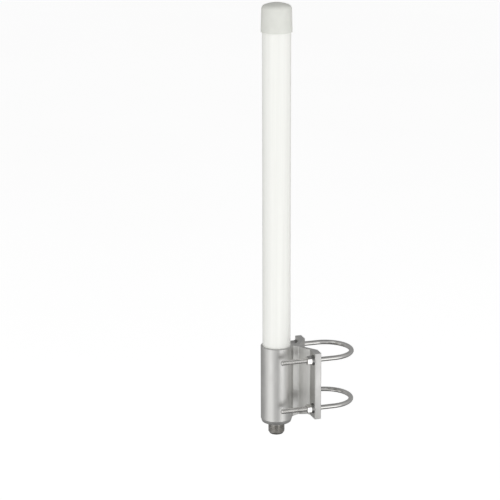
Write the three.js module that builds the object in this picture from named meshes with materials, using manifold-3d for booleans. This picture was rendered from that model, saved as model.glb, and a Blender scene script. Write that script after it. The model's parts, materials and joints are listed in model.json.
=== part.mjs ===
// Omnidirectional radio antenna: a fibreglass radome on an aluminium base whose V saddle is drawn
// onto a mast by two U-bolts.
// Millimetres, +Z up. The origin is on the mast's axis, at half the height of the clamp's flanges. +X
// runs from the antenna towards the mast, and the whole is symmetrical about the XZ plane.
import * as THREE from "three";
import { mergeVertices } from "three/addons/utils/BufferGeometryUtils.js";
import Module from "manifold-3d";

const wasm = await Module();
wasm.setup();

// ---- Clearances ----
const GAP = 0.3; // round a piece that sits in a hole or a bore
const FACE_GAP = 0.1; // between flat faces stacked on one another

// ---- Mast and clamp ----
const AXIS_OFFSET = 50.5; // from the antenna's axis to the mast's
const MAST_R = 22.75; // the mast that the U-bolts are bent for
const CLAMP_H = 66.5; // height of the web, V saddle and flanges
const UBOLT_PITCH = 49; // height from one U-bolt to the other
const UBOLT_RISE = 1.2; // their middle above the clamp's
const WEB_HALF = 4.5;
const SADDLE_ANGLE = THREE.MathUtils.degToRad(55); // each V face to the XZ plane
const SADDLE_T = 4; // thickness of the V's walls
const FLANGE_BACK = 29.1; // flange face on the antenna's side, from the antenna's axis
const FLANGE_T = 6.4;
const FLANGE_HALF = 30; // half the width across both flanges
const FILLET = 2;
const EDGE = 0.8; // rounding of the flanges' corners

// ---- Base tube ----
const BASE_R = 15.25;
const BASE_TOP = 36.2;
const BASE_BOTTOM = -41.1;
const BASE_RIM = 0.6; // chamfer round the upper rim
const FOOT_H = 3.6; // height of the foot, which tapers in
const FOOT_IN = 1.1; // how far it comes in
// The clamp's ends fall away from the tube like cones, down to the clamp's own height.
const CONE_TOP = 35.3;
const CONE_TOP_R = 25;
const CONE_BOTTOM = -37.3;
const CONE_BOTTOM_R = 30;
const SOCKET_DEPTH = 28; // how far the radome goes in
const CAVITY_R = 11;
const FLOOR_T = 5;

// ---- Radome and cap ----
const RADOME_R = 13.5;
const RADOME_WALL = 2;
const CAP_R = 14.75;
const CAP_BOTTOM = 339.8;
const CAP_H = 27.5;
const CAP_OVERLAP = 22; // how far the cap reaches down the radome
const CAP_TOP_R = 14.1; // where the side would meet the crown without its rounded corner
const CAP_CORNER = 4.4;
const CAP_DOME_R = 11.3; // edge of the crown's dome
const CAP_DOME_H = 2.1;
const GASKET_T = 1.5;

// ---- Connector, type N size ----
const THREAD_R = 7.94; // 5/8 inch thread
const THREAD_END = -53.8;
const THREAD_TIP_R = 6.4; // the thread's end tapers down to this
const THREAD_TIP_H = 2.3;
const SHOULDER_T = 2;
const MOUTH_R = 4.05;
const MOUTH_DEPTH = 9.2;
const STEM_R = 6; // threaded stem through the base's floor
const STEM_TOP = -25;
const CONTACT_R = 1.55;
const CONTACT_RECESS = 5; // from the connector's mouth to the contact's tip
const STEM_NUT_AF = 17;
const STEM_NUT_T = 4;

// ---- Radiating array ----
const COAX_R = 1.8;
const COAX_TOP = 326;
const DIPOLES = 4;
const DIPOLE_PITCH = 70;
const FIRST_DIPOLE = 85; // centre of the lowest one
const QUARTER_WAVE = 27.5;
const SLEEVE_R = 4.5;
const SLEEVE_WALL = 0.7;
const CHOKE_R = 6;
const CHOKE_BOTTOM = 2;
const SPACER_T = 4;
const PLUG_BOTTOM = 329;

// ---- U-bolts, M5, with their nuts and washers ----
const SHANK_R = 2.3;
const BOLT_R = 2.5;
const THREAD_L = 38;
const LEG_END = -3.5; // end of the legs, from the antenna's axis
const NUT_AF = 8;
const NUT_T = 4.7;
const WASHER_R = 5;
const WASHER_T = 1;
const SPRING_R = 4.6;
const SPRING_T = 1.2;
const SPRING_SPLIT = 1.2;
const BEND_STEPS = 22;

// ---- Where the U-bolts lie ----
const BEND_R = MAST_R + SHANK_R;
const LEG_Y = BEND_R; // each leg to the XZ plane
const UPPER_Z = UBOLT_RISE + UBOLT_PITCH / 2;
const LOWER_Z = UBOLT_RISE - UBOLT_PITCH / 2;

// ---- Facets ----
const FINE = 48;
const MEDIUM = 32;
const COARSE = 20;

// ---------------------------------------------------------------- geometry helpers

/** A closed three.js geometry as a manifold solid. */
function solidOf(geometry) {
  const bare = geometry.clone();
  bare.deleteAttribute("normal");
  bare.deleteAttribute("uv");
  const merged = mergeVertices(bare, 1e-4);
  const corners = merged.index.array;
  const kept = [];
  for (let i = 0; i < corners.length; i += 3) {
    const [a, b, c] = [corners[i], corners[i + 1], corners[i + 2]];
    if (a !== b && b !== c && c !== a) kept.push(a, b, c);
  }
  return new wasm.Manifold(
    new wasm.Mesh({
      numProp: 3,
      vertProperties: merged.attributes.position.array,
      triVerts: new Uint32Array(kept),
    }),
  );
}

/** A manifold solid as a three.js geometry. */
function geometryOf(solid) {
  const mesh = solid.getMesh();
  const geometry = new THREE.BufferGeometry();
  geometry.setAttribute("position", new THREE.BufferAttribute(mesh.vertProperties, 3));
  geometry.setIndex(new THREE.BufferAttribute(mesh.triVerts, 1));
  geometry.computeVertexNormals();
  return geometry;
}

/** A body turned about Z from [radius, height] corners, closed on the axis or on itself. */
function turned(profile, segments) {
  const points = profile.map(([r, z]) => new THREE.Vector2(r, z));
  if (THREE.ShapeUtils.area(points) < 0) points.reverse();
  if (points[0].x > 0 || points.at(-1).x > 0) points.push(points[0].clone());
  return new THREE.LatheGeometry(points, segments).rotateX(Math.PI / 2);
}

/** A plain ring about Z. */
function ring(inner, outer, low, high, segments) {
  const profile = [
    [inner, low],
    [outer, low],
    [outer, high],
    [inner, high],
  ];
  return turned(profile, segments);
}

/** A plain disc or rod about Z. */
function rod(radius, low, high, segments) {
  const length = high - low;
  const body = new THREE.CylinderGeometry(radius, radius, length, segments);
  return body.rotateX(Math.PI / 2).translate(0, 0, (low + high) / 2);
}

/** A hexagonal nut about Z from height 0 up, with flats facing Y. */
function nut(acrossFlats, thickness, boreR) {
  const hexagon = rod(acrossFlats / Math.sqrt(3), 0, thickness, 6).rotateZ(Math.PI / 2);
  const bore = rod(boreR, -1, thickness + 1, COARSE);
  return geometryOf(solidOf(hexagon).subtract(solidOf(bore)));
}

/** Points along an outline whose corners [x, y, radius] are rounded by tangent arcs. */
function roundedOutline(corners, arcSteps) {
  return corners.flatMap(([x, y, radius = 0], i) => {
    const corner = new THREE.Vector2(x, y);
    if (radius === 0) return [corner];
    const before = corners.at(i - 1);
    const after = corners[(i + 1) % corners.length];
    const back = new THREE.Vector2(before[0] - x, before[1] - y).normalize();
    const ahead = new THREE.Vector2(after[0] - x, after[1] - y).normalize();
    const half = Math.acos(THREE.MathUtils.clamp(back.dot(ahead), -1, 1)) / 2;
    const middle = back.clone().add(ahead).normalize();
    const centre = corner.clone().addScaledVector(middle, radius / Math.sin(half));
    const reach = radius / Math.tan(half);
    const from = corner.clone().addScaledVector(back, reach).sub(centre).angle();
    const to = corner.clone().addScaledVector(ahead, reach).sub(centre).angle();
    const turn = THREE.MathUtils.euclideanModulo(to - from + Math.PI, 2 * Math.PI) - Math.PI;
    return Array.from({ length: arcSteps + 1 }, (_, k) => {
      const angle = from + (turn * k) / arcSteps;
      return new THREE.Vector2(Math.cos(angle), Math.sin(angle))
        .multiplyScalar(radius)
        .add(centre);
    });
  });
}

const finish = (color, roughness, metalness) => ({ color, roughness, metalness });
const FINISHES = {
  aluminium: finish(0xc6c7c2, 0.38, 0.9),
  fibreglass: finish(0xf0f1ea, 0.45, 0),
  capPlastic: finish(0xd3d5cd, 0.5, 0),
  zinc: finish(0xb9bab8, 0.28, 1),
  nickel: finish(0x9a9892, 0.3, 1),
  brass: finish(0xc29a4b, 0.32, 1),
  gold: finish(0xd9b25a, 0.25, 1),
  rubber: finish(0x26272a, 0.85, 0),
  ptfe: finish(0xf2f2ee, 0.5, 0),
  foam: finish(0xe4e2d8, 0.95, 0),
  jacket: finish(0xa77a4c, 0.4, 0),
};

/** One named piece with a material of its own. */
function piece(name, geometry, finishName) {
  const mesh = new THREE.Mesh(geometry, new THREE.MeshStandardMaterial(FINISHES[finishName]));
  mesh.name = name;
  return mesh;
}

// ---------------------------------------------------------------- base

/** Plan of the web, V saddle and flanges, seen from above, with the antenna's axis at 0, 0. */
function clampPlan() {
  const slope = 1 / Math.tan(SADDLE_ANGLE);
  const front = FLANGE_BACK + FLANGE_T;
  const innerApex = AXIS_OFFSET - (MAST_R + GAP / 3) / Math.sin(SADDLE_ANGLE);
  const outerApex = innerApex - SADDLE_T / Math.sin(SADDLE_ANGLE);
  // The fillet between tube and web touches the tube here, and its tangents meet at tangentX.
  const touch = Math.asin((WEB_HALF + FILLET) / (BASE_R + FILLET));
  const tangentX = (BASE_R - WEB_HALF * Math.sin(touch)) / Math.cos(touch);
  const side = [
    [BASE_R * Math.cos(touch), BASE_R * Math.sin(touch)],
    [tangentX, WEB_HALF, FILLET],
    [outerApex + WEB_HALF * slope, WEB_HALF, FILLET],
    [FLANGE_BACK, (FLANGE_BACK - outerApex) / slope, FILLET],
    [FLANGE_BACK, FLANGE_HALF, EDGE],
    [front, FLANGE_HALF, EDGE],
    [front, (front - innerApex) / slope, EDGE],
  ];
  const mirrored = side.map(([x, y, radius]) => [x, -y, radius]).reverse();
  return new THREE.Shape(
    roundedOutline([[0, 0], ...side, [innerApex, 0, FILLET], ...mirrored], 5),
  );
}

function baseBracket() {
  const clamp = new THREE.ExtrudeGeometry(clampPlan(), {
    depth: CONE_TOP - CONE_BOTTOM + 2,
    bevelEnabled: false,
  }).translate(0, 0, CONE_BOTTOM - 1);
  const cones = turned(
    [
      [0, CONE_BOTTOM],
      [BASE_R, CONE_BOTTOM],
      [CONE_BOTTOM_R, -CLAMP_H / 2],
      [2 * FLANGE_HALF, -CLAMP_H / 2],
      [2 * FLANGE_HALF, CLAMP_H / 2],
      [CONE_TOP_R, CLAMP_H / 2],
      [BASE_R, CONE_TOP],
      [0, CONE_TOP],
    ],
    FINE,
  );
  const tube = turned(
    [
      [0, BASE_BOTTOM],
      [BASE_R - FOOT_IN, BASE_BOTTOM],
      [BASE_R, BASE_BOTTOM + FOOT_H],
      [BASE_R, BASE_TOP - BASE_RIM],
      [BASE_R - BASE_RIM, BASE_TOP],
      [0, BASE_TOP],
    ],
    FINE,
  );
  const socketFloor = BASE_TOP - SOCKET_DEPTH;
  const bore = turned(
    [
      [0, BASE_BOTTOM - 1],
      [STEM_R + GAP, BASE_BOTTOM - 1],
      [STEM_R + GAP, BASE_BOTTOM + FLOOR_T],
      [CAVITY_R, BASE_BOTTOM + FLOOR_T],
      [CAVITY_R, socketFloor],
      [RADOME_R + GAP, socketFloor],
      [RADOME_R + GAP, BASE_TOP + 1],
      [0, BASE_TOP + 1],
    ],
    FINE,
  );
  const clampBody = solidOf(clamp).intersect(solidOf(cones));
  let body = solidOf(tube).add(clampBody).subtract(solidOf(bore));
  for (const y of [-LEG_Y, LEG_Y]) {
    for (const z of [LOWER_Z, UPPER_Z]) {
      const hole = rod(BOLT_R + GAP, FLANGE_BACK - 2, FLANGE_BACK + FLANGE_T + 2, COARSE);
      hole.rotateY(Math.PI / 2).translate(0, y, z);
      body = body.subtract(solidOf(hole));
    }
  }
  return piece("base_bracket", geometryOf(body), "aluminium");
}

// ---------------------------------------------------------------- radome and cap

function radomeParts() {
  const gasketFloor = BASE_TOP - SOCKET_DEPTH + FACE_GAP;
  const tubeBottom = gasketFloor + GASKET_T + FACE_GAP;
  const inner = RADOME_R - RADOME_WALL;
  const recessTop = CAP_BOTTOM + CAP_OVERLAP;
  const tubeTop = recessTop - GASKET_T - 2 * FACE_GAP;
  // The crown's dome falls with the radius squared, and runs on straight into the corner.
  const crownTop = CAP_BOTTOM + CAP_H;
  const dome = Array.from({ length: 4 }, (_, k) => {
    const share = 1 - k / 3;
    return [CAP_DOME_R * share, crownTop - CAP_DOME_H * share ** 2];
  });
  const cornerDrop = CAP_DOME_H * ((2 * CAP_TOP_R) / CAP_DOME_R - 1);
  const cap = turned(
    roundedOutline(
      [
        [0, recessTop],
        [RADOME_R + GAP, recessTop],
        [RADOME_R + GAP, CAP_BOTTOM],
        [CAP_R, CAP_BOTTOM],
        [CAP_TOP_R, crownTop - cornerDrop, CAP_CORNER],
        ...dome,
      ],
      5,
    ),
    FINE,
  );
  const gasket = (low) => ring(inner, RADOME_R, low, low + GASKET_T, MEDIUM);
  return [
    piece("top_cap", cap, "capPlastic"),
    piece("radome_tube", ring(inner, RADOME_R, tubeBottom, tubeTop, FINE), "fibreglass"),
    piece("radome_gasket", gasket(gasketFloor), "rubber"),
    piece("cap_gasket", gasket(tubeTop + FACE_GAP), "rubber"),
    piece("top_foam_plug", rod(inner - GAP, PLUG_BOTTOM, tubeTop, MEDIUM), "foam"),
  ];
}

// ---------------------------------------------------------------- radiating array

/** A thin brass cup round the coaxial line, open away from its end wall. */
function sleeve(outerR, wallAt, openAt) {
  const wallInside = wallAt + Math.sign(openAt - wallAt) * SLEEVE_WALL;
  return turned(
    [
      [COAX_R + GAP, wallAt],
      [outerR, wallAt],
      [outerR, openAt],
      [outerR - SLEEVE_WALL, openAt],
      [outerR - SLEEVE_WALL, wallInside],
      [COAX_R + GAP, wallInside],
    ],
    COARSE,
  );
}

function arrayParts() {
  const parts = [
    piece("feed_coax", rod(COAX_R, STEM_TOP + FACE_GAP, COAX_TOP, COARSE), "jacket"),
    piece("choke_sleeve", sleeve(CHOKE_R, CHOKE_BOTTOM, CHOKE_BOTTOM + QUARTER_WAVE), "brass"),
  ];
  for (let i = 0; i < DIPOLES; i += 1) {
    const centre = FIRST_DIPOLE + i * DIPOLE_PITCH;
    const spacerLow = centre - DIPOLE_PITCH / 2 - SPACER_T / 2;
    const spacer = ring(
      COAX_R + GAP,
      RADOME_R - RADOME_WALL - GAP,
      spacerLow,
      spacerLow + SPACER_T,
      COARSE,
    );
    parts.push(
      piece(`dipole_lower_${i + 1}`, sleeve(SLEEVE_R, centre - 1, centre - 1 - QUARTER_WAVE), "brass"),
      piece(`dipole_upper_${i + 1}`, sleeve(SLEEVE_R, centre + 1, centre + 1 + QUARTER_WAVE), "brass"),
      piece(`array_spacer_${i + 1}`, spacer, "ptfe"),
    );
  }
  return parts;
}

// ---------------------------------------------------------------- connector

function connectorParts() {
  const gasketT = 1;
  const shoulderTop = BASE_BOTTOM - FACE_GAP;
  const mouthFloor = THREAD_END + MOUTH_DEPTH;
  const coreR = MOUTH_R - 0.8;
  const gasketGroove = shoulderTop - gasketT;
  const body = turned(
    [
      [MOUTH_R, THREAD_END],
      [THREAD_TIP_R, THREAD_END],
      [THREAD_R, THREAD_END + THREAD_TIP_H],
      [THREAD_R, shoulderTop - SHOULDER_T],
      [THREAD_R + 0.3, shoulderTop - SHOULDER_T],
      [THREAD_R + 0.3, gasketGroove],
      [STEM_R, gasketGroove],
      [STEM_R, STEM_TOP],
      [coreR, STEM_TOP],
      [coreR, mouthFloor],
      [MOUTH_R, mouthFloor],
    ],
    MEDIUM,
  );
  const insulator = ring(CONTACT_R + GAP, coreR - GAP, mouthFloor, STEM_TOP - 1, COARSE);
  const contactLow = THREAD_END + CONTACT_RECESS;
  const contact = turned(
    [
      [0, contactLow + 4],
      [CONTACT_R / 2, contactLow + 4],
      [CONTACT_R / 2, contactLow],
      [CONTACT_R, contactLow],
      [CONTACT_R, STEM_TOP - 1],
      [0, STEM_TOP - 1],
    ],
    COARSE,
  );
  const gasket = ring(
    STEM_R + GAP,
    THREAD_R,
    gasketGroove + FACE_GAP,
    shoulderTop,
    COARSE,
  );
  const washerLow = BASE_BOTTOM + FLOOR_T + FACE_GAP;
  const washer = ring(STEM_R + GAP, STEM_R + 3.2, washerLow, washerLow + 1, COARSE);
  const stemNut = nut(STEM_NUT_AF, STEM_NUT_T, STEM_R + GAP);
  stemNut.translate(0, 0, washerLow + 1 + FACE_GAP);
  return [
    piece("connector_body", body, "nickel"),
    piece("connector_insulator", insulator, "ptfe"),
    piece("connector_contact", contact, "gold"),
    piece("connector_gasket", gasket, "rubber"),
    piece("connector_washer", washer, "nickel"),
    piece("connector_nut", stemNut, "nickel"),
  ];
}

// ---------------------------------------------------------------- clamp hardware

/** Centre line of a U-bolt about the mast's axis: one step along each leg, the rest round the bend. */
class UBoltLine extends THREE.Curve {
  getPoint(t) {
    const step = t * (BEND_STEPS + 2);
    const legLength = AXIS_OFFSET - LEG_END;
    if (step < 1) return new THREE.Vector3((step - 1) * legLength, -BEND_R, 0);
    if (step > BEND_STEPS + 1) {
      return new THREE.Vector3((BEND_STEPS + 1 - step) * legLength, BEND_R, 0);
    }
    const angle = ((step - 1) / BEND_STEPS - 0.5) * Math.PI;
    return new THREE.Vector3(BEND_R * Math.cos(angle), BEND_R * Math.sin(angle), 0);
  }

  getUtoTmapping(u) {
    return u;
  }
}

function uBolt(name) {
  const section = new THREE.Shape().absarc(0, 0, SHANK_R, 0, 2 * Math.PI);
  const shank = new THREE.ExtrudeGeometry(section, {
    steps: BEND_STEPS + 2,
    curveSegments: 8,
    extrudePath: new UBoltLine(),
  });
  let body = solidOf(shank);
  const start = LEG_END - AXIS_OFFSET;
  for (const y of [-LEG_Y, LEG_Y]) {
    const thread = turned(
      [
        [0, start],
        [BOLT_R - 0.6, start],
        [BOLT_R, start + 0.6],
        [BOLT_R, start + THREAD_L],
        [0, start + THREAD_L],
      ],
      COARSE,
    );
    body = body.add(solidOf(thread.rotateY(Math.PI / 2).translate(0, y, 0)));
  }
  return piece(name, geometryOf(body), "zinc");
}

/** A split ring about Z from height 0 up. */
function springWasher() {
  const whole = ring(BOLT_R + GAP, SPRING_R, 0, SPRING_T, COARSE);
  const split = new THREE.BoxGeometry(SPRING_R, SPRING_SPLIT, 3 * SPRING_T);
  split.translate(SPRING_R - 0.5, 0, SPRING_T / 2);
  return geometryOf(solidOf(whole).subtract(solidOf(split)));
}

/** A U-bolt with the flat washer, spring washer and nut on each of its legs. */
function uBoltSet(level, z) {
  const set = new THREE.Group();
  set.position.z = z;
  set.add(uBolt(`ubolt_${level}`));
  for (const [side, y] of [["near", -LEG_Y], ["far", LEG_Y]]) {
    const flatX = FLANGE_BACK - AXIS_OFFSET - FACE_GAP - WASHER_T;
    const springX = flatX - FACE_GAP - SPRING_T;
    const nutX = springX - FACE_GAP - NUT_T;
    const flat = ring(BOLT_R + GAP, WASHER_R, 0, WASHER_T, COARSE);
    const stack = [
      [piece(`flat_washer_${level}_${side}`, flat, "zinc"), flatX],
      [piece(`spring_washer_${level}_${side}`, springWasher(), "zinc"), springX],
      [piece(`nut_${level}_${side}`, nut(NUT_AF, NUT_T, BOLT_R + GAP), "zinc"), nutX],
    ];
    for (const [mesh, x] of stack) {
      mesh.rotation.y = Math.PI / 2;
      mesh.position.set(x, y, 0);
      set.add(mesh);
    }
  }
  return set;
}

// ---------------------------------------------------------------- assembly

const antenna = new THREE.Group();
antenna.position.x = -AXIS_OFFSET;
antenna.add(baseBracket(), ...radomeParts(), ...arrayParts(), ...connectorParts());

const assembly = new THREE.Group();
assembly.add(
  antenna,
  uBoltSet("upper", UPPER_Z),
  uBoltSet("lower", LOWER_Z),
);

export default assembly;
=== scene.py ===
"""Looks of the omnidirectional antenna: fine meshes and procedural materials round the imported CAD
frame, with the camera, the lights and the floor. Everything is in metres, in the CAD model's frame:
+Z up, +X from the antenna to the mast, and the origin on the mast's axis."""

import json
import math

import bmesh
import bpy
from mathutils import Matrix, Vector


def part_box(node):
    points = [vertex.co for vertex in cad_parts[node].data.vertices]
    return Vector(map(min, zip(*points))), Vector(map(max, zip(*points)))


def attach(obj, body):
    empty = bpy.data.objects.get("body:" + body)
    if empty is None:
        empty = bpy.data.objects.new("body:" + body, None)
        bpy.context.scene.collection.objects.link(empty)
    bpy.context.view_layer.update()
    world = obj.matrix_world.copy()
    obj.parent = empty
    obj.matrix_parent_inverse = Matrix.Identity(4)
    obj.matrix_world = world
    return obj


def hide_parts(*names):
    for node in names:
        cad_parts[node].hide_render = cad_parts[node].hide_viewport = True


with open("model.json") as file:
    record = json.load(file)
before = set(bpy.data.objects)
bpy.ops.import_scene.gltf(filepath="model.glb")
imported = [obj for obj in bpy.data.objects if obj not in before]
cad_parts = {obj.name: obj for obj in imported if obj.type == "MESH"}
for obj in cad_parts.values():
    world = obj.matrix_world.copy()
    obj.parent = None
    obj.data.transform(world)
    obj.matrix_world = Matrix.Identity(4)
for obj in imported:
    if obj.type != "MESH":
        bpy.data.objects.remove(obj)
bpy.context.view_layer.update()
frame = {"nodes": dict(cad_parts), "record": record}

MM = 0.001
TURN = 2 * math.pi
ANTENNA = "antenna"  # the body that does not move
SHARP_DEG = 32  # edges sharper than this are not shaded over

# ---- Places and sizes taken from the frame ----


def middle(node):
    low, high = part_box(node)
    return (low + high) / 2


def radius_of(node):
    low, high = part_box(node)
    return (high.y - low.y) / 2


BASE_LOW, BASE_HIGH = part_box("base_bracket")
RADOME_LOW, RADOME_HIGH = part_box("radome_tube")
CAP_LOW, CAP_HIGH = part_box("top_cap")
PLUG_LOW, PLUG_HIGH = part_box("connector_body")
AXIS_X = middle("radome_tube").x
RADOME_R = radius_of("radome_tube")
CAP_R = radius_of("top_cap")
SHOULDER_R = radius_of("connector_body")
NUT_NODES = ["nut_upper_near", "nut_upper_far", "nut_lower_near", "nut_lower_far"]

# ---- Driving dimensions that the frame's boxes do not give ----

GAP = 0.3 * MM  # round a piece that sits in a hole or a bore of the base
FACE_GAP = 0.1 * MM  # under the base's floor

# Base bracket
BASE_R = 15.25 * MM
CLAMP_HALF = 33.25 * MM  # half the height of the web, V saddle and flanges
WEB_HALF = 4.5 * MM
SADDLE_ANGLE = math.radians(55)
SADDLE_T = 4 * MM
MAST_R = 22.85 * MM  # to the V's faces
FLANGE_T = 6.4 * MM
FLANGE_BACK = BASE_HIGH.x - FLANGE_T
FILLET = 2 * MM
EDGE = 0.8 * MM
EDGE_SOFT = 0.45 * MM  # softening of the clamp's two ends
FOOT_H = 3.6 * MM
FOOT_IN = 1.1 * MM
CONE_TOP = 35.3 * MM  # the clamp's ends fall away from the tube like cones, down to CLAMP_HALF
CONE_TOP_R = 25 * MM
CONE_BOTTOM = 37.3 * MM
CONE_BOTTOM_R = 30 * MM
RIM_CHAMFER = 0.6 * MM
SOCKET_R = RADOME_R + GAP
SOCKET_DEPTH = 28 * MM
CAVITY_R = 11 * MM
FLOOR_T = 5 * MM
STEM_R = 6 * MM
HOLE_R = 2.8 * MM
TUBE_BACK_STEPS = 108
TUBE_WEB_STEPS = 14

# Cap and radome
RADOME_WALL = 2 * MM
BEAD_DEPTH = 3 * MM
CAP_OVERLAP = 22 * MM
CAP_TOP_R = 14.1 * MM  # where the side would meet the crown without its rounded corner
CAP_CORNER = 4.4 * MM
CAP_DOME_R = 11.3 * MM
CAP_DOME_H = 2.1 * MM

# Fasteners
SHANK_R = 2.3 * MM
BOLT_R = 2.5 * MM
BOLT_PITCH = 0.8 * MM
THREAD_DEPTH = 0.43 * MM
THREAD_L = 38 * MM
THREAD_RUN_IN = 1.2 * MM
THREAD_RUN_OUT = 1.5 * MM
SHANK_TAPER = 1 * MM  # from the thread's end down to the shank
ROD_TIP_R = BOLT_R - 0.65 * MM
ROD_TIP_SLOPE = 0.9
NUT_AF = 8 * MM
NUT_T = 4.7 * MM
WASHER_T = 1 * MM
WASHER_R = 5 * MM
SPRING_T = 1.2 * MM
SPRING_R = 4.6 * MM
STACK_GAP = 0.02 * MM  # between flange, washers and nut

# Connector
PLUG_R = 7.94 * MM
PLUG_PITCH = 25.4 * MM / 24
PLUG_DEPTH = 0.62 * MM
PLUG_RUN_OUT = 0.8 * MM
PLUG_TIP_R = 6.4 * MM
PLUG_TIP_H = 2.3 * MM
PLUG_SOFT = 0.2 * MM  # rounding of edges
MOUTH_R = 4.05 * MM
CORE_R = 3.25 * MM
CONTACT_R = 1.55 * MM
CONTACT_BORE_DEPTH = 4 * MM
SNUG = 0.02 * MM  # between the pieces inside

# Heights along the connector, from its mouth up
PLUG_END = PLUG_LOW.z
CONTACT_TIP = PLUG_END + 5 * MM
MOUTH_FLOOR = PLUG_END + 9.2 * MM
PLUG_NECK = BASE_LOW.z - FACE_GAP - 2 * MM
SHOULDER_TOP = BASE_LOW.z - FACE_GAP - 1 * MM
CORE_TOP = PLUG_HIGH.z - 1 * MM
STEM_TOP = PLUG_HIGH.z


# ---------------------------------------------------------------- mesh helpers


def ease(t):
    """0 below 0, 1 above 1, and smooth between."""
    t = min(max(t, 0), 1)
    return t * t * (3 - 2 * t)


def polar(radius, angle, height, centre=(0, 0)):
    """The point at an angle and a radius from a line along Z."""
    return Vector((centre[0] + radius * math.cos(angle), centre[1] + radius * math.sin(angle), height))


def rounded(corners, steps=4, closed=False):
    """An outline of (x, y, radius) corners with each corner turned into a tangent arc."""
    points = []
    count = len(corners)
    for i, (x, y, radius) in enumerate(corners):
        corner = Vector((x, y))
        at_end = not closed and i in (0, count - 1)
        if radius == 0 or at_end:
            points.append(corner)
            continue
        back = (Vector(corners[i - 1][:2]) - corner).normalized()
        ahead = (Vector(corners[(i + 1) % count][:2]) - corner).normalized()
        half = back.angle(ahead) / 2
        centre = corner + (back + ahead).normalized() * radius / math.sin(half)
        first = corner + back * radius / math.tan(half) - centre
        last = corner + ahead * radius / math.tan(half) - centre
        sweep = first.angle_signed(last)
        for k in range(steps + 1):
            points.append(centre + Matrix.Rotation(-sweep * k / steps, 2) @ first)
    return points


def smooth(mesh, sharp_deg=SHARP_DEG):
    """Smooth shading but for the edges sharper than sharp_deg."""
    mesh.shade_smooth()
    mesh.set_sharp_from_angle(angle=math.radians(sharp_deg))


def shaded(bm, name, sharp_deg=SHARP_DEG):
    """A new object from bm, closed, facing out and smooth."""
    bmesh.ops.remove_doubles(bm, verts=bm.verts, dist=1e-7)
    bmesh.ops.dissolve_degenerate(bm, edges=bm.edges, dist=1e-8)
    bmesh.ops.recalc_face_normals(bm, faces=bm.faces)
    mesh = bpy.data.meshes.new(name)
    bm.to_mesh(mesh)
    bm.free()
    smooth(mesh, sharp_deg)
    obj = bpy.data.objects.new(name, mesh)
    bpy.context.scene.collection.objects.link(obj)
    return obj


def skinned(rings, closed=False, capped=False):
    """A bmesh over rings of points. A ring of one point is a pole."""
    bm = bmesh.new()
    rows = [[bm.verts.new(p) for p in ring] for ring in rings]
    pairs = list(zip(rows, rows[1:]))
    if closed:
        pairs.append((rows[-1], rows[0]))
    for a, b in pairs:
        count = max(len(a), len(b))
        for i in range(count):
            j = (i + 1) % count
            if len(a) == 1:
                bm.faces.new((a[0], b[i], b[j]))
            elif len(b) == 1:
                bm.faces.new((a[i], a[j], b[0]))
            else:
                bm.faces.new((a[i], a[j], b[j], b[i]))
    if capped:
        bm.faces.new(rows[0])
        bm.faces.new(rows[-1])
    return bm


def circle(radius, height, segments, centre=(0, 0)):
    """Points round Z at a height. radius is a number or a function of the angle."""
    if radius == 0:
        return [polar(0, 0, height, centre)]
    ring = []
    for k in range(segments):
        angle = TURN * k / segments
        r = radius(angle) if callable(radius) else radius
        ring.append(polar(r, angle, height, centre))
    return ring


def turned(name, profile, segments=128, closed=False):
    """A body turned about the antenna's axis from (radius, height) points."""
    rings = [circle(r, z, segments, (AXIS_X, 0)) for r, z in profile]
    return shaded(skinned(rings, closed=closed), name)


def along_x(rings, node, start=0):
    """Rings made about Z, laid along X through a node's middle. Their height 0 comes to start."""
    at = middle(node)
    turn = Matrix.Rotation(math.pi / 2, 4, "Y")
    shift = Matrix.Translation((start, at.y, at.z))
    return [[shift @ turn @ p for p in ring] for ring in rings]


def groove(along, pitch, angle):
    """How deep a right-hand thread is at an angle, from 0 at its crest to 1 at its root."""
    return 0.5 - 0.5 * math.cos(TURN * along / pitch - angle)


def cut(obj, tools):
    """Takes the tools' shapes out of obj, and removes the tools."""
    for tool in tools:
        step = obj.modifiers.new("cut", "BOOLEAN")
        step.operation = "DIFFERENCE"
        step.solver = "EXACT"
        step.object = tool
    depsgraph = bpy.context.evaluated_depsgraph_get()
    mesh = bpy.data.meshes.new_from_object(obj.evaluated_get(depsgraph))
    obj.modifiers.clear()
    obj.data = mesh
    for tool in tools:
        bpy.data.objects.remove(tool)
    smooth(mesh)


def place(obj, body, slot, *nodes, look=None):
    """Puts a finished piece on its body, in place of the CAD nodes that it stands for. look names
    its material where that is not its slot's own."""
    obj.data.materials.clear()
    obj.data.materials.append(MATERIALS[look or slot])
    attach(obj, body)
    if nodes:
        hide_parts(*nodes)


# ---------------------------------------------------------------- materials

NOISE_LOW = 0.3  # most of the noise lies between these two
NOISE_HIGH = 0.7


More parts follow.
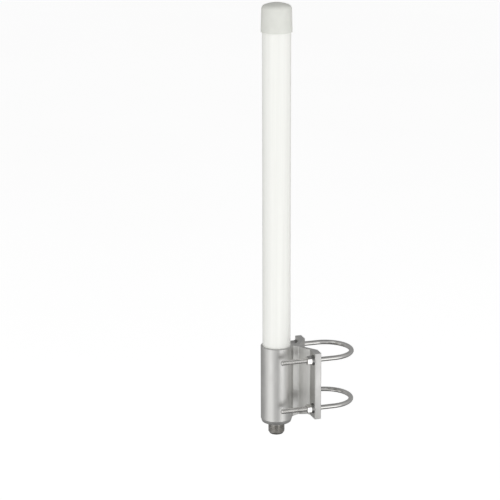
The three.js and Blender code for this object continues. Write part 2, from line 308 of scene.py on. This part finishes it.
class Surface:
    """A procedural material: one Principled shader whose looks come from noise in object space."""

    def __init__(self, name, metallic=0.0, **sockets):
        self.material = bpy.data.materials.new(name)
        self.material.use_nodes = True
        tree = self.material.node_tree
        self.nodes = tree.nodes
        self.links = tree.links
        self.shader = self.nodes["Principled BSDF"]
        self.shader.inputs["Metallic"].default_value = metallic
        for socket, value in sockets.items():
            self.shader.inputs[socket].default_value = value
        self.coordinates = self.nodes.new("ShaderNodeTexCoord").outputs["Object"]
        self.bumped = None

    def noise(self, size, stretch=(1, 1, 1), detail=3.0):
        """Noise whose grains are about size across, times stretch along each axis."""
        mapping = self.nodes.new("ShaderNodeMapping")
        for axis in range(3):
            mapping.inputs["Scale"].default_value[axis] = 1 / (size * stretch[axis])
        self.links.new(self.coordinates, mapping.inputs["Vector"])
        texture = self.nodes.new("ShaderNodeTexNoise")
        texture.inputs["Scale"].default_value = 1
        texture.inputs["Detail"].default_value = detail
        texture.inputs["Roughness"].default_value = 0.55
        self.links.new(mapping.outputs["Vector"], texture.inputs["Vector"])
        return texture.outputs["Fac"]

    def shades(self, factor, dark, light, low=NOISE_LOW, high=NOISE_HIGH):
        """Colours from dark, where factor is low, to light, where it is high."""
        node = self.nodes.new("ShaderNodeValToRGB")
        for element, position, colour in zip(node.color_ramp.elements, (low, high), (dark, light)):
            element.position = position
            element.color = (*colour, 1)
        self.links.new(factor, node.inputs["Fac"])
        return node.outputs["Color"]

    def times(self, first, second):
        """Two colours multiplied."""
        node = self.nodes.new("ShaderNodeMix")
        node.data_type = "RGBA"
        node.blend_type = "MULTIPLY"
        node.inputs["Factor"].default_value = 1
        self.links.new(first, node.inputs["A"])
        self.links.new(second, node.inputs["B"])
        return node.outputs["Result"]

    def colour(self, socket):
        self.links.new(socket, self.shader.inputs["Base Color"])

    def roughness(self, factor, low, high):
        """Roughness that follows factor from low to high."""
        node = self.nodes.new("ShaderNodeMapRange")
        node.inputs["From Min"].default_value = NOISE_LOW
        node.inputs["From Max"].default_value = NOISE_HIGH
        node.inputs["To Min"].default_value = low
        node.inputs["To Max"].default_value = high
        self.links.new(factor, node.inputs["Value"])
        self.links.new(node.outputs["Result"], self.shader.inputs["Roughness"])

    def bump(self, factor, height):
        """Adds relief of about height metres over what is there already."""
        node = self.nodes.new("ShaderNodeBump")
        node.inputs["Strength"].default_value = 1
        node.inputs["Distance"].default_value = height
        self.links.new(factor, node.inputs["Height"])
        if self.bumped:
            self.links.new(self.bumped, node.inputs["Normal"])
        self.bumped = node.outputs["Normal"]
        self.links.new(self.bumped, self.shader.inputs["Normal"])


def grey(value, tint=(1, 1, 1)):
    return tuple(value * t for t in tint)


def satin_aluminium():
    """Extruded aluminium: long die lines up Z, a fine satin tooth and faint clouding."""
    s = Surface("satin_aluminium", metallic=1.0)
    lines = s.noise(0.25 * MM, (1, 1, 600), detail=4)
    broad = s.noise(1.6 * MM, (1, 1, 90))
    clouds = s.noise(14 * MM)
    tooth = s.noise(0.12 * MM, detail=2)
    warm = (1, 0.995, 0.97)
    base = s.shades(broad, grey(0.72, warm), grey(0.79, warm))
    patches = s.shades(clouds, grey(0.95), grey(1.0), low=0.35, high=0.65)
    s.colour(s.times(base, patches))
    s.roughness(clouds, 0.34, 0.46)
    s.bump(lines, 0.012 * MM)
    s.bump(tooth, 0.006 * MM)
    return s.material


def fibreglass():
    """Painted pultruded fibreglass: off-white with fibres that run the length of the tube."""
    s = Surface("radome_fibreglass", IOR=1.5)
    fibres = s.noise(0.5 * MM, (1, 1, 220), detail=4)
    bands = s.noise(4 * MM, (1, 1, 60))
    blotches = s.noise(30 * MM)
    white = (1, 1.004, 0.962)
    base = s.shades(bands, grey(0.83, white), grey(0.875, white))
    fine = s.shades(fibres, grey(0.975), grey(1.0))
    s.colour(s.times(base, fine))
    s.roughness(blotches, 0.3, 0.42)
    s.bump(fibres, 0.02 * MM)
    return s.material


def cap_plastic():
    """Moulded plastic with a fine spark-eroded grain."""
    s = Surface("cap_plastic", IOR=1.48)
    grain = s.noise(0.35 * MM, detail=2)
    clouds = s.noise(9 * MM)
    tint = (1, 1.01, 0.945)
    base = s.shades(clouds, grey(0.66, tint), grey(0.7, tint))
    specks = s.shades(grain, grey(0.97), grey(1.0))
    s.colour(s.times(base, specks))
    s.roughness(grain, 0.42, 0.56)
    s.bump(grain, 0.02 * MM)
    return s.material


def steel(name, dark, light, low, high):
    """Stainless steel with a fine tooth and a few dull patches."""
    s = Surface(name, metallic=1.0)
    patches = s.noise(5 * MM)
    fine = s.noise(0.2 * MM, detail=2)
    tint = (1, 0.99, 0.965)
    s.colour(s.shades(patches, grey(dark, tint), grey(light, tint)))
    s.roughness(patches, low, high)
    s.bump(fine, 0.004 * MM)
    return s.material


def nickel_plate():
    """Nickel over machined brass: greyer and warmer than the steel, with turning marks."""
    s = Surface("nickel_plate", metallic=1.0)
    marks = s.noise(0.15 * MM, (40, 40, 1), detail=3)
    patches = s.noise(3 * MM)
    tint = (1, 0.975, 0.93)
    s.colour(s.shades(patches, grey(0.44, tint), grey(0.56, tint)))
    s.roughness(patches, 0.2, 0.34)
    s.bump(marks, 0.008 * MM)
    return s.material


def yellow_metal(name, dark, light, low, high):
    """Brass or gold plate, with soft tarnish."""
    s = Surface(name, metallic=1.0)
    patches = s.noise(4 * MM)
    fine = s.noise(0.2 * MM, (1, 1, 30))
    s.colour(s.shades(patches, dark, light))
    s.roughness(patches, low, high)
    s.bump(fine, 0.005 * MM)
    return s.material


def dull(name, dark, light, grain, low, high, relief):
    """A non-metal with a grain: rubber, foam, fluoropolymer, cable jacket or sealant."""
    s = Surface(name)
    specks = s.noise(grain, detail=4)
    s.colour(s.shades(specks, dark, light))
    s.roughness(specks, low, high)
    s.bump(specks, relief)
    return s.material


MATERIALS = {
    "satin_aluminium": satin_aluminium(),
    "radome_fibreglass": fibreglass(),
    "cap_plastic": cap_plastic(),
    "bright_steel": steel("bright_steel", 0.72, 0.84, low=0.08, high=0.16),
    # The washers' darker, duller steel is painted shade: it stands for the shadow between each nut and
    # the flange.
    "washer_steel_painted_shade": steel("washer_steel_painted_shade", 0.34, 0.46, low=0.2, high=0.32),
    "nickel_plate": nickel_plate(),
    "gold_plate": yellow_metal(
        "gold_plate", (0.8, 0.55, 0.2), (0.9, 0.66, 0.28), low=0.15, high=0.25
    ),
    "array_brass": yellow_metal(
        "array_brass", (0.6, 0.4, 0.15), (0.78, 0.58, 0.27), low=0.22, high=0.4
    ),
    "white_ptfe": dull(
        "white_ptfe",
        (0.8, 0.8, 0.78),
        (0.88, 0.88, 0.86),
        grain=0.4 * MM,
        low=0.4,
        high=0.5,
        relief=0.01 * MM,
    ),
    "white_foam": dull(
        "white_foam",
        (0.66, 0.64, 0.58),
        (0.82, 0.8, 0.74),
        grain=0.9 * MM,
        low=0.8,
        high=0.95,
        relief=0.2 * MM,
    ),
    "coax_jacket": dull(
        "coax_jacket",
        (0.36, 0.2, 0.08),
        (0.5, 0.3, 0.13),
        grain=1.5 * MM,
        low=0.25,
        high=0.4,
        relief=0.02 * MM,
    ),
    "black_rubber": dull(
        "black_rubber",
        (0.02, 0.02, 0.022),
        (0.035, 0.035, 0.037),
        grain=0.3 * MM,
        low=0.6,
        high=0.8,
        relief=0.02 * MM,
    ),
    "sealant": dull(
        "sealant",
        (0.6, 0.6, 0.57),
        (0.72, 0.72, 0.68),
        grain=0.6 * MM,
        low=0.35,
        high=0.5,
        relief=0.03 * MM,
    ),
}


# ---------------------------------------------------------------- base bracket


def clamp_side():
    """Corners of one side of the clamp's plan, from the tube to the V's apex, about the antenna's
    axis, and the angle at which the plan leaves the tube."""
    slope = 1 / math.tan(SADDLE_ANGLE)
    front = BASE_HIGH.x - AXIS_X
    back = front - FLANGE_T
    half = BASE_HIGH.y
    inner_apex = -AXIS_X - MAST_R / math.sin(SADDLE_ANGLE)
    outer_apex = inner_apex - SADDLE_T / math.sin(SADDLE_ANGLE)
    touch = math.asin((WEB_HALF + FILLET) / (BASE_R + FILLET))
    tangent_x = (BASE_R - WEB_HALF * math.sin(touch)) / math.cos(touch)
    corners = [
        (BASE_R * math.cos(touch), BASE_R * math.sin(touch), 0),
        (tangent_x, WEB_HALF, FILLET),
        (outer_apex + WEB_HALF * slope, WEB_HALF, FILLET),
        (back, (back - outer_apex) / slope, FILLET),
        (back, half, EDGE),
        (front, half, EDGE),
        (front, (front - inner_apex) / slope, EDGE),
        (inner_apex, 0, FILLET),
    ]
    return touch, corners


def base_profile():
    """(radius, height) of the base tube, from the top of the clamp over the rim, down the bore
    and back up to the bottom of the clamp."""
    top, bottom = BASE_HIGH.z, BASE_LOW.z
    ledge = top - SOCKET_DEPTH
    floor = bottom + FLOOR_T
    soft = 0.25 * MM
    bore_soft = 0.15 * MM
    floor_fillet = 1 * MM
    corners = [
        (BASE_R, CONE_TOP, 0),
        (BASE_R, top - RIM_CHAMFER, soft),
        (BASE_R - RIM_CHAMFER, top, soft),
        (SOCKET_R, top, bore_soft),
        (SOCKET_R, ledge, soft),
        (CAVITY_R, ledge, soft),
        (CAVITY_R, floor, floor_fillet),
        (STEM_R + GAP, floor, soft),
        (STEM_R + GAP, bottom, soft),
        (BASE_R - FOOT_IN, bottom, 2 * soft),
        (BASE_R, bottom + FOOT_H, 2 * soft),
        (BASE_R, -CONE_BOTTOM, 0),
    ]
    return rounded(corners)


def clamp_height(point, at_tube, out_r):
    """Half height of the clamp at a point of its plan, where it is at_tube against the tube."""
    share = (point.length - BASE_R) / (out_r - BASE_R)
    return at_tube + (CLAMP_HALF - at_tube) * min(max(share, 0), 1)


def subdivided(points, step):
    """The points, with more between those that lie further than step from one another."""
    finer = []
    for a, b in zip(points, points[1:]):
        count = math.ceil((b - a).length / step)
        finer += [a.lerp(b, k / count) for k in range(count)]
    return [*finer, points[-1]]


def tube_rows(bm, touch):
    """The base tube's surface, as rows of vertices round it. Each row runs from the web's far side
    round the back to its near side, and then on across the web."""
    back = [
        touch + (TURN - 2 * touch) * k / TUBE_BACK_STEPS for k in range(TUBE_BACK_STEPS + 1)
    ]
    web = [touch * (2 * k / TUBE_WEB_STEPS - 1) for k in range(1, TUBE_WEB_STEPS)]
    rows = [
        [bm.verts.new(polar(radius, angle, height, (AXIS_X, 0))) for angle in back + web]
        for radius, height in base_profile()
    ]
    for a, b in zip(rows, rows[1:]):
        for i in range(len(a)):
            j = (i + 1) % len(a)
            bm.faces.new((a[i], a[j], b[j], b[i]))
    return rows


def base_piece():
    """The extrusion: a tube, and the clamp's plan grown from its side between two ends."""
    touch, corners = clamp_side()
    half_plan = subdivided(rounded(corners, steps=6)[1:], step=1.5 * MM)
    mirrored = [Vector((p.x, -p.y)) for p in half_plan[-2::-1]]
    plan = half_plan + mirrored  # from the tube's far side round the flanges to its near side
    bm = bmesh.new()
    rows = tube_rows(bm, touch)
    backs, walls, ends = [], [], []
    for row, sign, at_tube, out_r in (
        (rows[0], 1, CONE_TOP, CONE_TOP_R),
        (rows[-1], -1, CONE_BOTTOM, CONE_BOTTOM_R),
    ):
        outline = [
            bm.verts.new((AXIS_X + p.x, p.y, sign * clamp_height(p, at_tube, out_r)))
            for p in plan[1:-1]
        ]
        wall = [row[0], *outline, row[TUBE_BACK_STEPS]]
        backs.append(row[: TUBE_BACK_STEPS + 1])
        walls.append(wall)
        ends.append(bm.faces.new([*wall, *row[TUBE_BACK_STEPS + 1 :]]))
    for a, b in (backs, walls):
        for i in range(len(a) - 1):
            bm.faces.new((a[i], a[i + 1], b[i + 1], b[i]))

    axis = Vector((AXIS_X, 0))
    clear_of_tube = BASE_R + 0.1 * MM
    rims = [
        edge
        for face in ends
        for edge in face.edges
        if all((v.co.xy - axis).length > clear_of_tube for v in edge.verts)
    ]
    bmesh.ops.recalc_face_normals(bm, faces=bm.faces)
    bmesh.ops.bevel(
        bm,
        geom=rims,
        offset=EDGE_SOFT,
        segments=3,
        profile=0.5,
        affect="EDGES",
        clamp_overlap=True,
    )
    bmesh.ops.triangulate(bm, faces=[face for face in bm.faces if len(face.verts) > 4])
    base = shaded(bm, "base_extrusion")
    cut(base, [hole_tool(node) for node in NUT_NODES])
    place(base, ANTENNA, "satin_aluminium", "base_bracket")


def hole_tool(node):
    """What drills a flange hole on a nut's axis, with a small countersink at both faces."""
    front = BASE_HIGH.x
    flare = 0.35 * MM
    profile = [
        (0, FLANGE_BACK - flare),
        (HOLE_R + 2 * flare, FLANGE_BACK - flare),
        (HOLE_R, FLANGE_BACK + flare),
        (HOLE_R, front - flare),
        (HOLE_R + 2 * flare, front + flare),
        (0, front + flare),
    ]
    rings = [circle(r, x, segments=48) for r, x in profile]
    return shaded(skinned(along_x(rings, node)), "hole_tool")


# ---------------------------------------------------------------- radome and cap


def radome_piece():
    inner = RADOME_R - RADOME_WALL
    soft = 0.3 * MM
    profile = rounded(
        [
            (inner, RADOME_LOW.z, soft),
            (RADOME_R, RADOME_LOW.z, soft),
            (RADOME_R, RADOME_HIGH.z, soft),
            (inner, RADOME_HIGH.z, soft),
        ],
        closed=True,
    )
    radome = turned("radome_shell", profile, closed=True)
    place(radome, ANTENNA, "radome_fibreglass", "radome_tube")


def glue_bead_piece():
    """The glue between radome and base, a little below the rim outside and above it inside."""
    rim = BASE_HIGH.z
    clear = 0.01 * MM
    outside_drop = 0.25 * MM
    inside_rise = 0.05 * MM
    profile = rounded(
        [
            (RADOME_R + clear, rim - BEAD_DEPTH, 0),
            (SOCKET_R - clear, rim - BEAD_DEPTH, 0),
            (SOCKET_R - clear, rim - outside_drop, 0.1 * MM),
            (RADOME_R + clear, rim + inside_rise, 0),
        ],
        closed=True,
    )
    bead = turned("radome_glue_bead", profile, closed=True)
    place(bead, ANTENNA, "cap_plastic", look="sealant")


def cap_piece():
    low, high = CAP_LOW.z, CAP_HIGH.z
    recess = low + CAP_OVERLAP
    inner = RADOME_R + 0.03 * MM
    lip = 0.35 * MM
    mouth = rounded(
        [
            (0, recess, 0),
            (inner, recess, lip),
            (inner, low, lip),
            (CAP_R, low, lip),
            (CAP_R, high, 0),
        ]
    )[:-1]
    # The crown's dome falls with the radius squared, and runs on straight into the corner.
    corner_drop = CAP_DOME_H * (2 * CAP_TOP_R / CAP_DOME_R - 1)
    dome_steps = 10
    dome = []
    for k in range(dome_steps + 1):
        share = 1 - k / dome_steps
        dome.append((CAP_DOME_R * share, high - CAP_DOME_H * share**2, 0))
    crown = rounded(
        [(CAP_R, low, 0), (CAP_TOP_R, high - corner_drop, CAP_CORNER), *dome], steps=14
    )[1:]
    cap = turned("cap_moulding", [*mouth, *crown])
    place(cap, ANTENNA, "cap_plastic", "top_cap")


# ---------------------------------------------------------------- connector


def plug_radius(height):
    """Radius of the connector's screw thread at a height, as a function of the angle. The thread
    runs out at the neck, and is turned down to a cone near its end."""
    fade = ease((PLUG_NECK - height) / PLUG_RUN_OUT)
    cone = PLUG_TIP_R + (PLUG_R - PLUG_TIP_R) * (height - PLUG_END) / PLUG_TIP_H

    def radius(angle):
        return min(PLUG_R - PLUG_DEPTH * fade * groove(height, PLUG_PITCH, angle), cone)

    return radius


def socket_body_piece():
    upper = rounded(
        [
            (CORE_R, STEM_TOP, 0),
            (STEM_R, STEM_TOP, PLUG_SOFT),
            (STEM_R, SHOULDER_TOP, PLUG_SOFT),
            (SHOULDER_R, SHOULDER_TOP, PLUG_SOFT),
            (SHOULDER_R, PLUG_NECK, PLUG_SOFT),
            (PLUG_R, PLUG_NECK, 0),
        ]
    )
    last = PLUG_END + 0.12 * MM
    count = round((PLUG_NECK - last) / (PLUG_PITCH / 8))
    heights = [PLUG_NECK + (last - PLUG_NECK) * k / count for k in range(count + 1)]
    thread = [(plug_radius(z), z) for z in heights]
    rim = 0.4 * MM
    lower = rounded(
        [
            (PLUG_R, PLUG_END + PLUG_TIP_H, 0),
            (PLUG_TIP_R, PLUG_END, PLUG_SOFT),
            (MOUTH_R + rim, PLUG_END, PLUG_SOFT / 2),
            (MOUTH_R, PLUG_END + rim, PLUG_SOFT),
            (MOUTH_R, MOUTH_FLOOR, PLUG_SOFT / 2),
            (CORE_R, MOUTH_FLOOR, 0),
        ]
    )[1:]
    body = turned("socket_body", [*upper, *thread, *lower], segments=96, closed=True)
    place(body, ANTENNA, "nickel_plate", "connector_body")


def soft_ring(inner, outer, low, high):
    """Profile of a ring with rounded edges."""
    corners = [(inner, low), (outer, low), (outer, high), (inner, high)]
    return rounded([(r, z, PLUG_SOFT) for r, z in corners], closed=True)


def socket_insulator_piece():
    profile = soft_ring(CONTACT_R + SNUG, CORE_R - SNUG, MOUTH_FLOOR, CORE_TOP)
    insulator = turned("socket_insulator", profile, segments=64, closed=True)
    place(insulator, ANTENNA, "white_ptfe", "connector_insulator")


def socket_contact_piece():
    """The centre contact: a socket whose end is slotted crosswise."""
    bore = CONTACT_R / 2
    bore_end = CONTACT_TIP + CONTACT_BORE_DEPTH
    profile = rounded(
        [
            (0, bore_end, 0),
            (bore, bore_end, 0),
            (bore, CONTACT_TIP, PLUG_SOFT),
            (CONTACT_R, CONTACT_TIP, PLUG_SOFT),
            (CONTACT_R, CORE_TOP, PLUG_SOFT),
            (0, CORE_TOP, 0),
        ]
    )
    contact = turned("socket_contact", profile, segments=64)
    wide, narrow, tall = 4 * MM, 0.3 * MM, 6 * MM
    slots = []
    for size_x, size_y in ((wide, narrow), (narrow, wide)):
        bm = bmesh.new()
        shape = Matrix.Diagonal((size_x, size_y, tall, 1))
        at = Matrix.Translation((AXIS_X, 0, CONTACT_TIP))
        bmesh.ops.create_cube(bm, size=1, matrix=at @ shape)
        slots.append(shaded(bm, "slot_tool"))
    cut(contact, slots)
    place(contact, ANTENNA, "gold_plate", "connector_contact")


def socket_gasket_piece():
    bore = STEM_R + 0.05 * MM
    outer = PLUG_R - 0.1 * MM
    profile = soft_ring(bore, outer, SHOULDER_TOP, BASE_LOW.z)
    gasket = turned("socket_gasket", profile, segments=96, closed=True)
    place(gasket, ANTENNA, "black_rubber", "connector_gasket")


# ---------------------------------------------------------------- fasteners


def rod_section(distance):
    """Crest radius and thread depth of a U-bolt's rod at a distance from its nearer end."""
    crest = BOLT_R + (SHANK_R - BOLT_R) * ease((distance - THREAD_L) / SHANK_TAPER)
    crest = min(crest, ROD_TIP_R + distance * ROD_TIP_SLOPE)
    fade = ease(distance / THREAD_RUN_IN) * ease((THREAD_L - distance) / THREAD_RUN_OUT)
    return crest, THREAD_DEPTH * fade


def ubolt_piece(node, name, body):
    low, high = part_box(node)
    level = (low.z + high.z) / 2
    bend_r = (high.y - low.y) / 2 - BOLT_R
    leg = -low.x
    length = 2 * leg + math.pi * bend_r

    def rod_centre(s):
        """Point and direction at a distance along the rod."""
        if s < leg:
            return Vector((s - leg, -bend_r, level)), Vector((1, 0, 0))
        if s > length - leg:
            return Vector((length - leg - s, bend_r, level)), Vector((-1, 0, 0))
        angle = (s - leg) / bend_r - math.pi / 2
        point = Vector((bend_r * math.cos(angle), bend_r * math.sin(angle), level))
        return point, Vector((-math.sin(angle), math.cos(angle), 0))

    thread_steps = round(THREAD_L / (BOLT_PITCH / 7))
    bend_steps = 72
    thread = [THREAD_L * k / thread_steps for k in range(thread_steps + 1)]
    taper_step = 0.4 * MM
    thread += [THREAD_L + taper_step * k for k in (1, 2, 3)]
    bend = [leg + math.pi * bend_r * k / bend_steps for k in range(bend_steps + 1)]
    distances = [*thread, *bend, *[length - s for s in reversed(thread)]]

    up = Vector((0, 0, 1))
    segments = 28
    rings = [[rod_centre(0)[0]]]
    for s in distances:
        point, ahead = rod_centre(s)
        side = up.cross(ahead)
        crest, depth = rod_section(min(s, length - s))
        ring = []
        for k in range(segments):
            angle = TURN * k / segments
            radius = crest - depth * groove(s, BOLT_PITCH, angle)
            ring.append(point + (side * math.cos(angle) + up * math.sin(angle)) * radius)
        rings.append(ring)
    rings.append([rod_centre(length)[0]])
    rod = shaded(skinned(rings), name, sharp_deg=60)
    place(rod, body, "bright_steel", node)


def nut_piece(node, name, body, front_x):
    """A hexagon nut with its corners chamfered at both faces. front_x is its bearing face."""
    apothem = NUT_AF / 2
    face_r = 0.94 * apothem
    chamfer_slope = math.tan(math.radians(30))
    bore = BOLT_R + 0.03 * MM
    sink = 0.3 * MM
    count = 96

    def hexagon(angle):
        """The hexagon's radius at an angle. Two of its flats face Y."""
        off = angle % (math.pi / 3) - math.pi / 6
        return apothem / math.cos(off)

    def outline(bottom):
        """The hexagon's edge where the chamfer cone meets it."""
        points = []
        for k in range(count):
            angle = TURN * k / count
            r = hexagon(angle)
            rise = (r - face_r) * chamfer_slope
            points.append(polar(r, angle, rise if bottom else NUT_T - rise))
        return points

    rings = [
        circle(bore + sink, 0, count),
        circle(face_r, 0, count),
        outline(True),
        outline(False),
        circle(face_r, NUT_T, count),
        circle(bore + sink, NUT_T, count),
        circle(bore, NUT_T - sink, count),
        circle(bore, sink, count),
    ]
    lying = along_x(rings, node, front_x - NUT_T)
    nut = shaded(skinned(lying, closed=True), name, sharp_deg=20)
    place(nut, body, "bright_steel", node)


def flat_washer_piece(node, name, front_x):
    bore = BOLT_R + 0.15 * MM
    soft = 0.15 * MM
    profile = rounded(
        [
            (bore, 0, soft),
            (WASHER_R, 0, soft),
            (WASHER_R, WASHER_T, 2 * soft),
            (bore, WASHER_T, soft),
        ],
        closed=True,
    )
    rings = [circle(r, z, segments=72) for r, z in profile]
    lying = along_x(rings, node, front_x - WASHER_T)
    washer = shaded(skinned(lying, closed=True), name)
    # The washer's darker steel is painted shade between the nut and the flange.
    place(washer, ANTENNA, "bright_steel", node, look="washer_steel_painted_shade")


def spring_washer_piece(node, name, front_x):
    """A split ring, nearly closed up, whose ends stand a little apart along the bolt."""
    bore = BOLT_R + 0.1 * MM
    gap = math.radians(14)
    lift = 0.2 * MM
    thick = SPRING_T - lift
    soft = 0.12 * MM
    section = rounded(
        [
            (bore, 0, soft),
            (SPRING_R, 0, soft),
            (SPRING_R, thick, soft),
            (bore, thick, soft),
        ],
        steps=2,
        closed=True,
    )
    steps = 64
    rings = []
    for k in range(steps + 1):
        angle = gap / 2 + (TURN - gap) * k / steps
        rings.append([polar(r, angle, z + lift * k / steps) for r, z in section])
    lying = along_x(rings, node, front_x - SPRING_T)
    washer = shaded(skinned(lying, capped=True), name)
    # The washer's darker steel is painted shade between the nut and the flange.
    place(washer, ANTENNA, "bright_steel", node, look="washer_steel_painted_shade")


def fastener_pieces():
    for level in ("upper", "lower"):
        ubolt_piece(f"ubolt_{level}", f"ubolt_{level}_rod", f"{level}_bolt")
        for side in ("near", "far"):
            where = f"{level}_{side}"
            face = FLANGE_BACK - STACK_GAP
            flat_washer_piece(f"flat_washer_{where}", f"washer_{where}", face)
            face -= WASHER_T + STACK_GAP
            spring_washer_piece(f"spring_washer_{where}", f"lock_washer_{where}", face)
            face -= SPRING_T + STACK_GAP
            nut_piece(f"nut_{where}", f"hex_nut_{where}", f"{where}_nut", face)


# ---------------------------------------------------------------- carried-over CAD nodes


def finish_inner_nodes():
    """The nodes sealed inside keep their CAD shape and get their slot's material."""
    for part in frame["record"]["subparts"]:
        node = frame["nodes"][part["node"]]
        if node.hide_render:
            continue
        node.data.materials.clear()
        node.data.materials.append(MATERIALS[part["material_slot"]])


# ---------------------------------------------------------------- camera, lights and floor

VIEW_AZIMUTH = math.radians(-17.51)
VIEW_PITCH = math.radians(15.39)
VIEW_ROLL = math.radians(-0.2)
VIEW_DISTANCE = 1.8
VIEW_AIM = Vector((-0.0759, 0.0033, 0.1324))
LENS_MM = 136.5
SENSOR_MM = 36
FLOOR_Z = -0.6
FLOOR_HALF = 60
FLOOR_GLOW = 0.67
BACKDROP_LIGHT = 0.94
LIGHT_DISTANCE = 1.5
LIGHT_AIM = Vector((AXIS_X, 0, 0.1))


def towards(azimuth, elevation):
    """Unit vector from the object to a viewer. Azimuth 0 is -Y, and 90 degrees is +X."""
    return Vector(
        (
            math.sin(azimuth) * math.cos(elevation),
            -math.cos(azimuth) * math.cos(elevation),
            math.sin(elevation),
        )
    )


def make_camera():
    data = bpy.data.cameras.new("camera")
    data.lens = LENS_MM
    data.sensor_width = SENSOR_MM
    data.clip_start = 0.05
    data.clip_end = 200
    camera = bpy.data.objects.new("camera", data)
    back = towards(VIEW_AZIMUTH, VIEW_PITCH)
    camera.location = VIEW_AIM + back * VIEW_DISTANCE
    camera.rotation_mode = "QUATERNION"
    level = (-back).to_track_quat("-Z", "Y")
    camera.rotation_quaternion = level @ Matrix.Rotation(VIEW_ROLL, 3, "Z").to_quaternion()
    bpy.context.scene.collection.objects.link(camera)
    bpy.context.scene.camera = camera


def soft_box(name, aside, elevation, width, height, radiance, in_metal=True):
    """A soft light aimed at the object from degrees aside of the camera, of a given brightness as
    seen in reflection. With in_metal off it only lights what is not metal."""
    data = bpy.data.lights.new(name, "AREA")
    data.shape = "RECTANGLE"
    data.size = width
    data.size_y = height
    data.energy = radiance * math.pi * width * height
    light = bpy.data.objects.new(name, data)
    light.visible_camera = False
    light.visible_glossy = in_metal
    back = towards(VIEW_AZIMUTH + math.radians(aside), math.radians(elevation))
    light.location = LIGHT_AIM + back * LIGHT_DISTANCE
    light.rotation_mode = "QUATERNION"
    light.rotation_quaternion = (-back).to_track_quat("-Z", "Y")
    bpy.context.scene.collection.objects.link(light)


def world_ramp(nodes, links, factor, stops):
    """Grey levels between (position, level) stops, for a factor that runs from -1 to 1."""
    unit = nodes.new("ShaderNodeMapRange")
    unit.inputs["From Min"].default_value = -1
    links.new(factor, unit.inputs["Value"])
    node = nodes.new("ShaderNodeValToRGB")
    while len(node.color_ramp.elements) < len(stops):
        node.color_ramp.elements.new(1)
    for element, (position, level) in zip(node.color_ramp.elements, stops):
        element.position = (position + 1) / 2
        element.color = (level, level, level, 1)
    links.new(unit.outputs["Result"], node.inputs["Fac"])
    return node.outputs["Color"]


def make_world():
    """A studio that is brightest on the camera's side at the object's own height. It falls off
    behind the object, which darkens the edges of round metal, and also above and below. The camera
    itself sees a plain pale backdrop."""
    world = bpy.data.worlds.new("studio")
    world.use_nodes = True
    nodes, links = world.node_tree.nodes, world.node_tree.links
    direction = nodes.new("ShaderNodeTexCoord").outputs["Generated"]
    split = nodes.new("ShaderNodeSeparateXYZ")
    links.new(direction, split.inputs["Vector"])
    facing = nodes.new("ShaderNodeVectorMath")
    facing.operation = "DOT_PRODUCT"
    links.new(direction, facing.inputs[0])
    facing.inputs[1].default_value = towards(VIEW_AZIMUTH, 0)
    round_levels = [(-1, 0.31), (-0.6, 0.36), (-0.2, 0.44), (0.3, 0.5), (0.85, 0.56), (1, 0.56)]
    height_levels = [(-1, 0.25), (-0.75, 0.45), (-0.4, 1.0), (0.4, 1.05), (0.75, 0.85), (1, 0.45)]
    around = world_ramp(nodes, links, facing.outputs["Value"], round_levels)
    upward = world_ramp(nodes, links, split.outputs["Z"], height_levels)
    both = nodes.new("ShaderNodeMix")
    both.data_type = "RGBA"
    both.blend_type = "MULTIPLY"
    both.inputs["Factor"].default_value = 1
    links.new(around, both.inputs["A"])
    links.new(upward, both.inputs["B"])
    seen = nodes.new("ShaderNodeLightPath").outputs["Is Camera Ray"]
    choose = nodes.new("ShaderNodeMix")
    choose.data_type = "RGBA"
    choose.inputs["B"].default_value = (BACKDROP_LIGHT, BACKDROP_LIGHT, BACKDROP_LIGHT, 1)
    links.new(seen, choose.inputs["Factor"])
    links.new(both.outputs["Result"], choose.inputs["A"])
    links.new(choose.outputs["Result"], nodes["Background"].inputs["Color"])
    bpy.context.scene.world = world


def make_floor():
    bm = bmesh.new()
    bmesh.ops.create_grid(bm, x_segments=2, y_segments=2, size=FLOOR_HALF)
    bmesh.ops.translate(bm, verts=bm.verts, vec=(0, 0, FLOOR_Z))
    floor = shaded(bm, "floor")
    s = Surface("pale_floor", Roughness=0.9)
    s.shader.inputs["Specular IOR Level"].default_value = 0
    s.shader.inputs["Emission Color"].default_value = (1, 1, 1, 1)
    s.shader.inputs["Emission Strength"].default_value = FLOOR_GLOW
    clouds = s.noise(800 * MM)
    s.colour(s.shades(clouds, grey(0.78), grey(0.8)))
    floor.data.materials.append(s.material)
    floor.visible_glossy = False


def make_lights():
    soft_box("key_left", aside=-44, elevation=-10, width=0.9, height=2.2, radiance=0.3)
    soft_box("key_left_wide", aside=-50, elevation=-10, width=2.2, height=2.2, radiance=0.3)
    soft_box("key_right", aside=50, elevation=-12, width=1.0, height=1.8, radiance=0.34)
    soft_box("sparkle", aside=38, elevation=-19, width=0.6, height=0.5, radiance=0.75)
    soft_box("fill", aside=35, elevation=20, width=1.2, height=1.2, radiance=0.9, in_metal=False)
    soft_box("fill_top", aside=0, elevation=70, width=1.2, height=1.2, radiance=1.0, in_metal=False)


# ---------------------------------------------------------------- assembly

base_piece()
radome_piece()
glue_bead_piece()
cap_piece()
socket_body_piece()
socket_insulator_piece()
socket_contact_piece()
socket_gasket_piece()
fastener_pieces()
finish_inner_nodes()
make_camera()
make_world()
make_floor()
make_lights()
bpy.context.scene.view_settings.view_transform = "Standard"
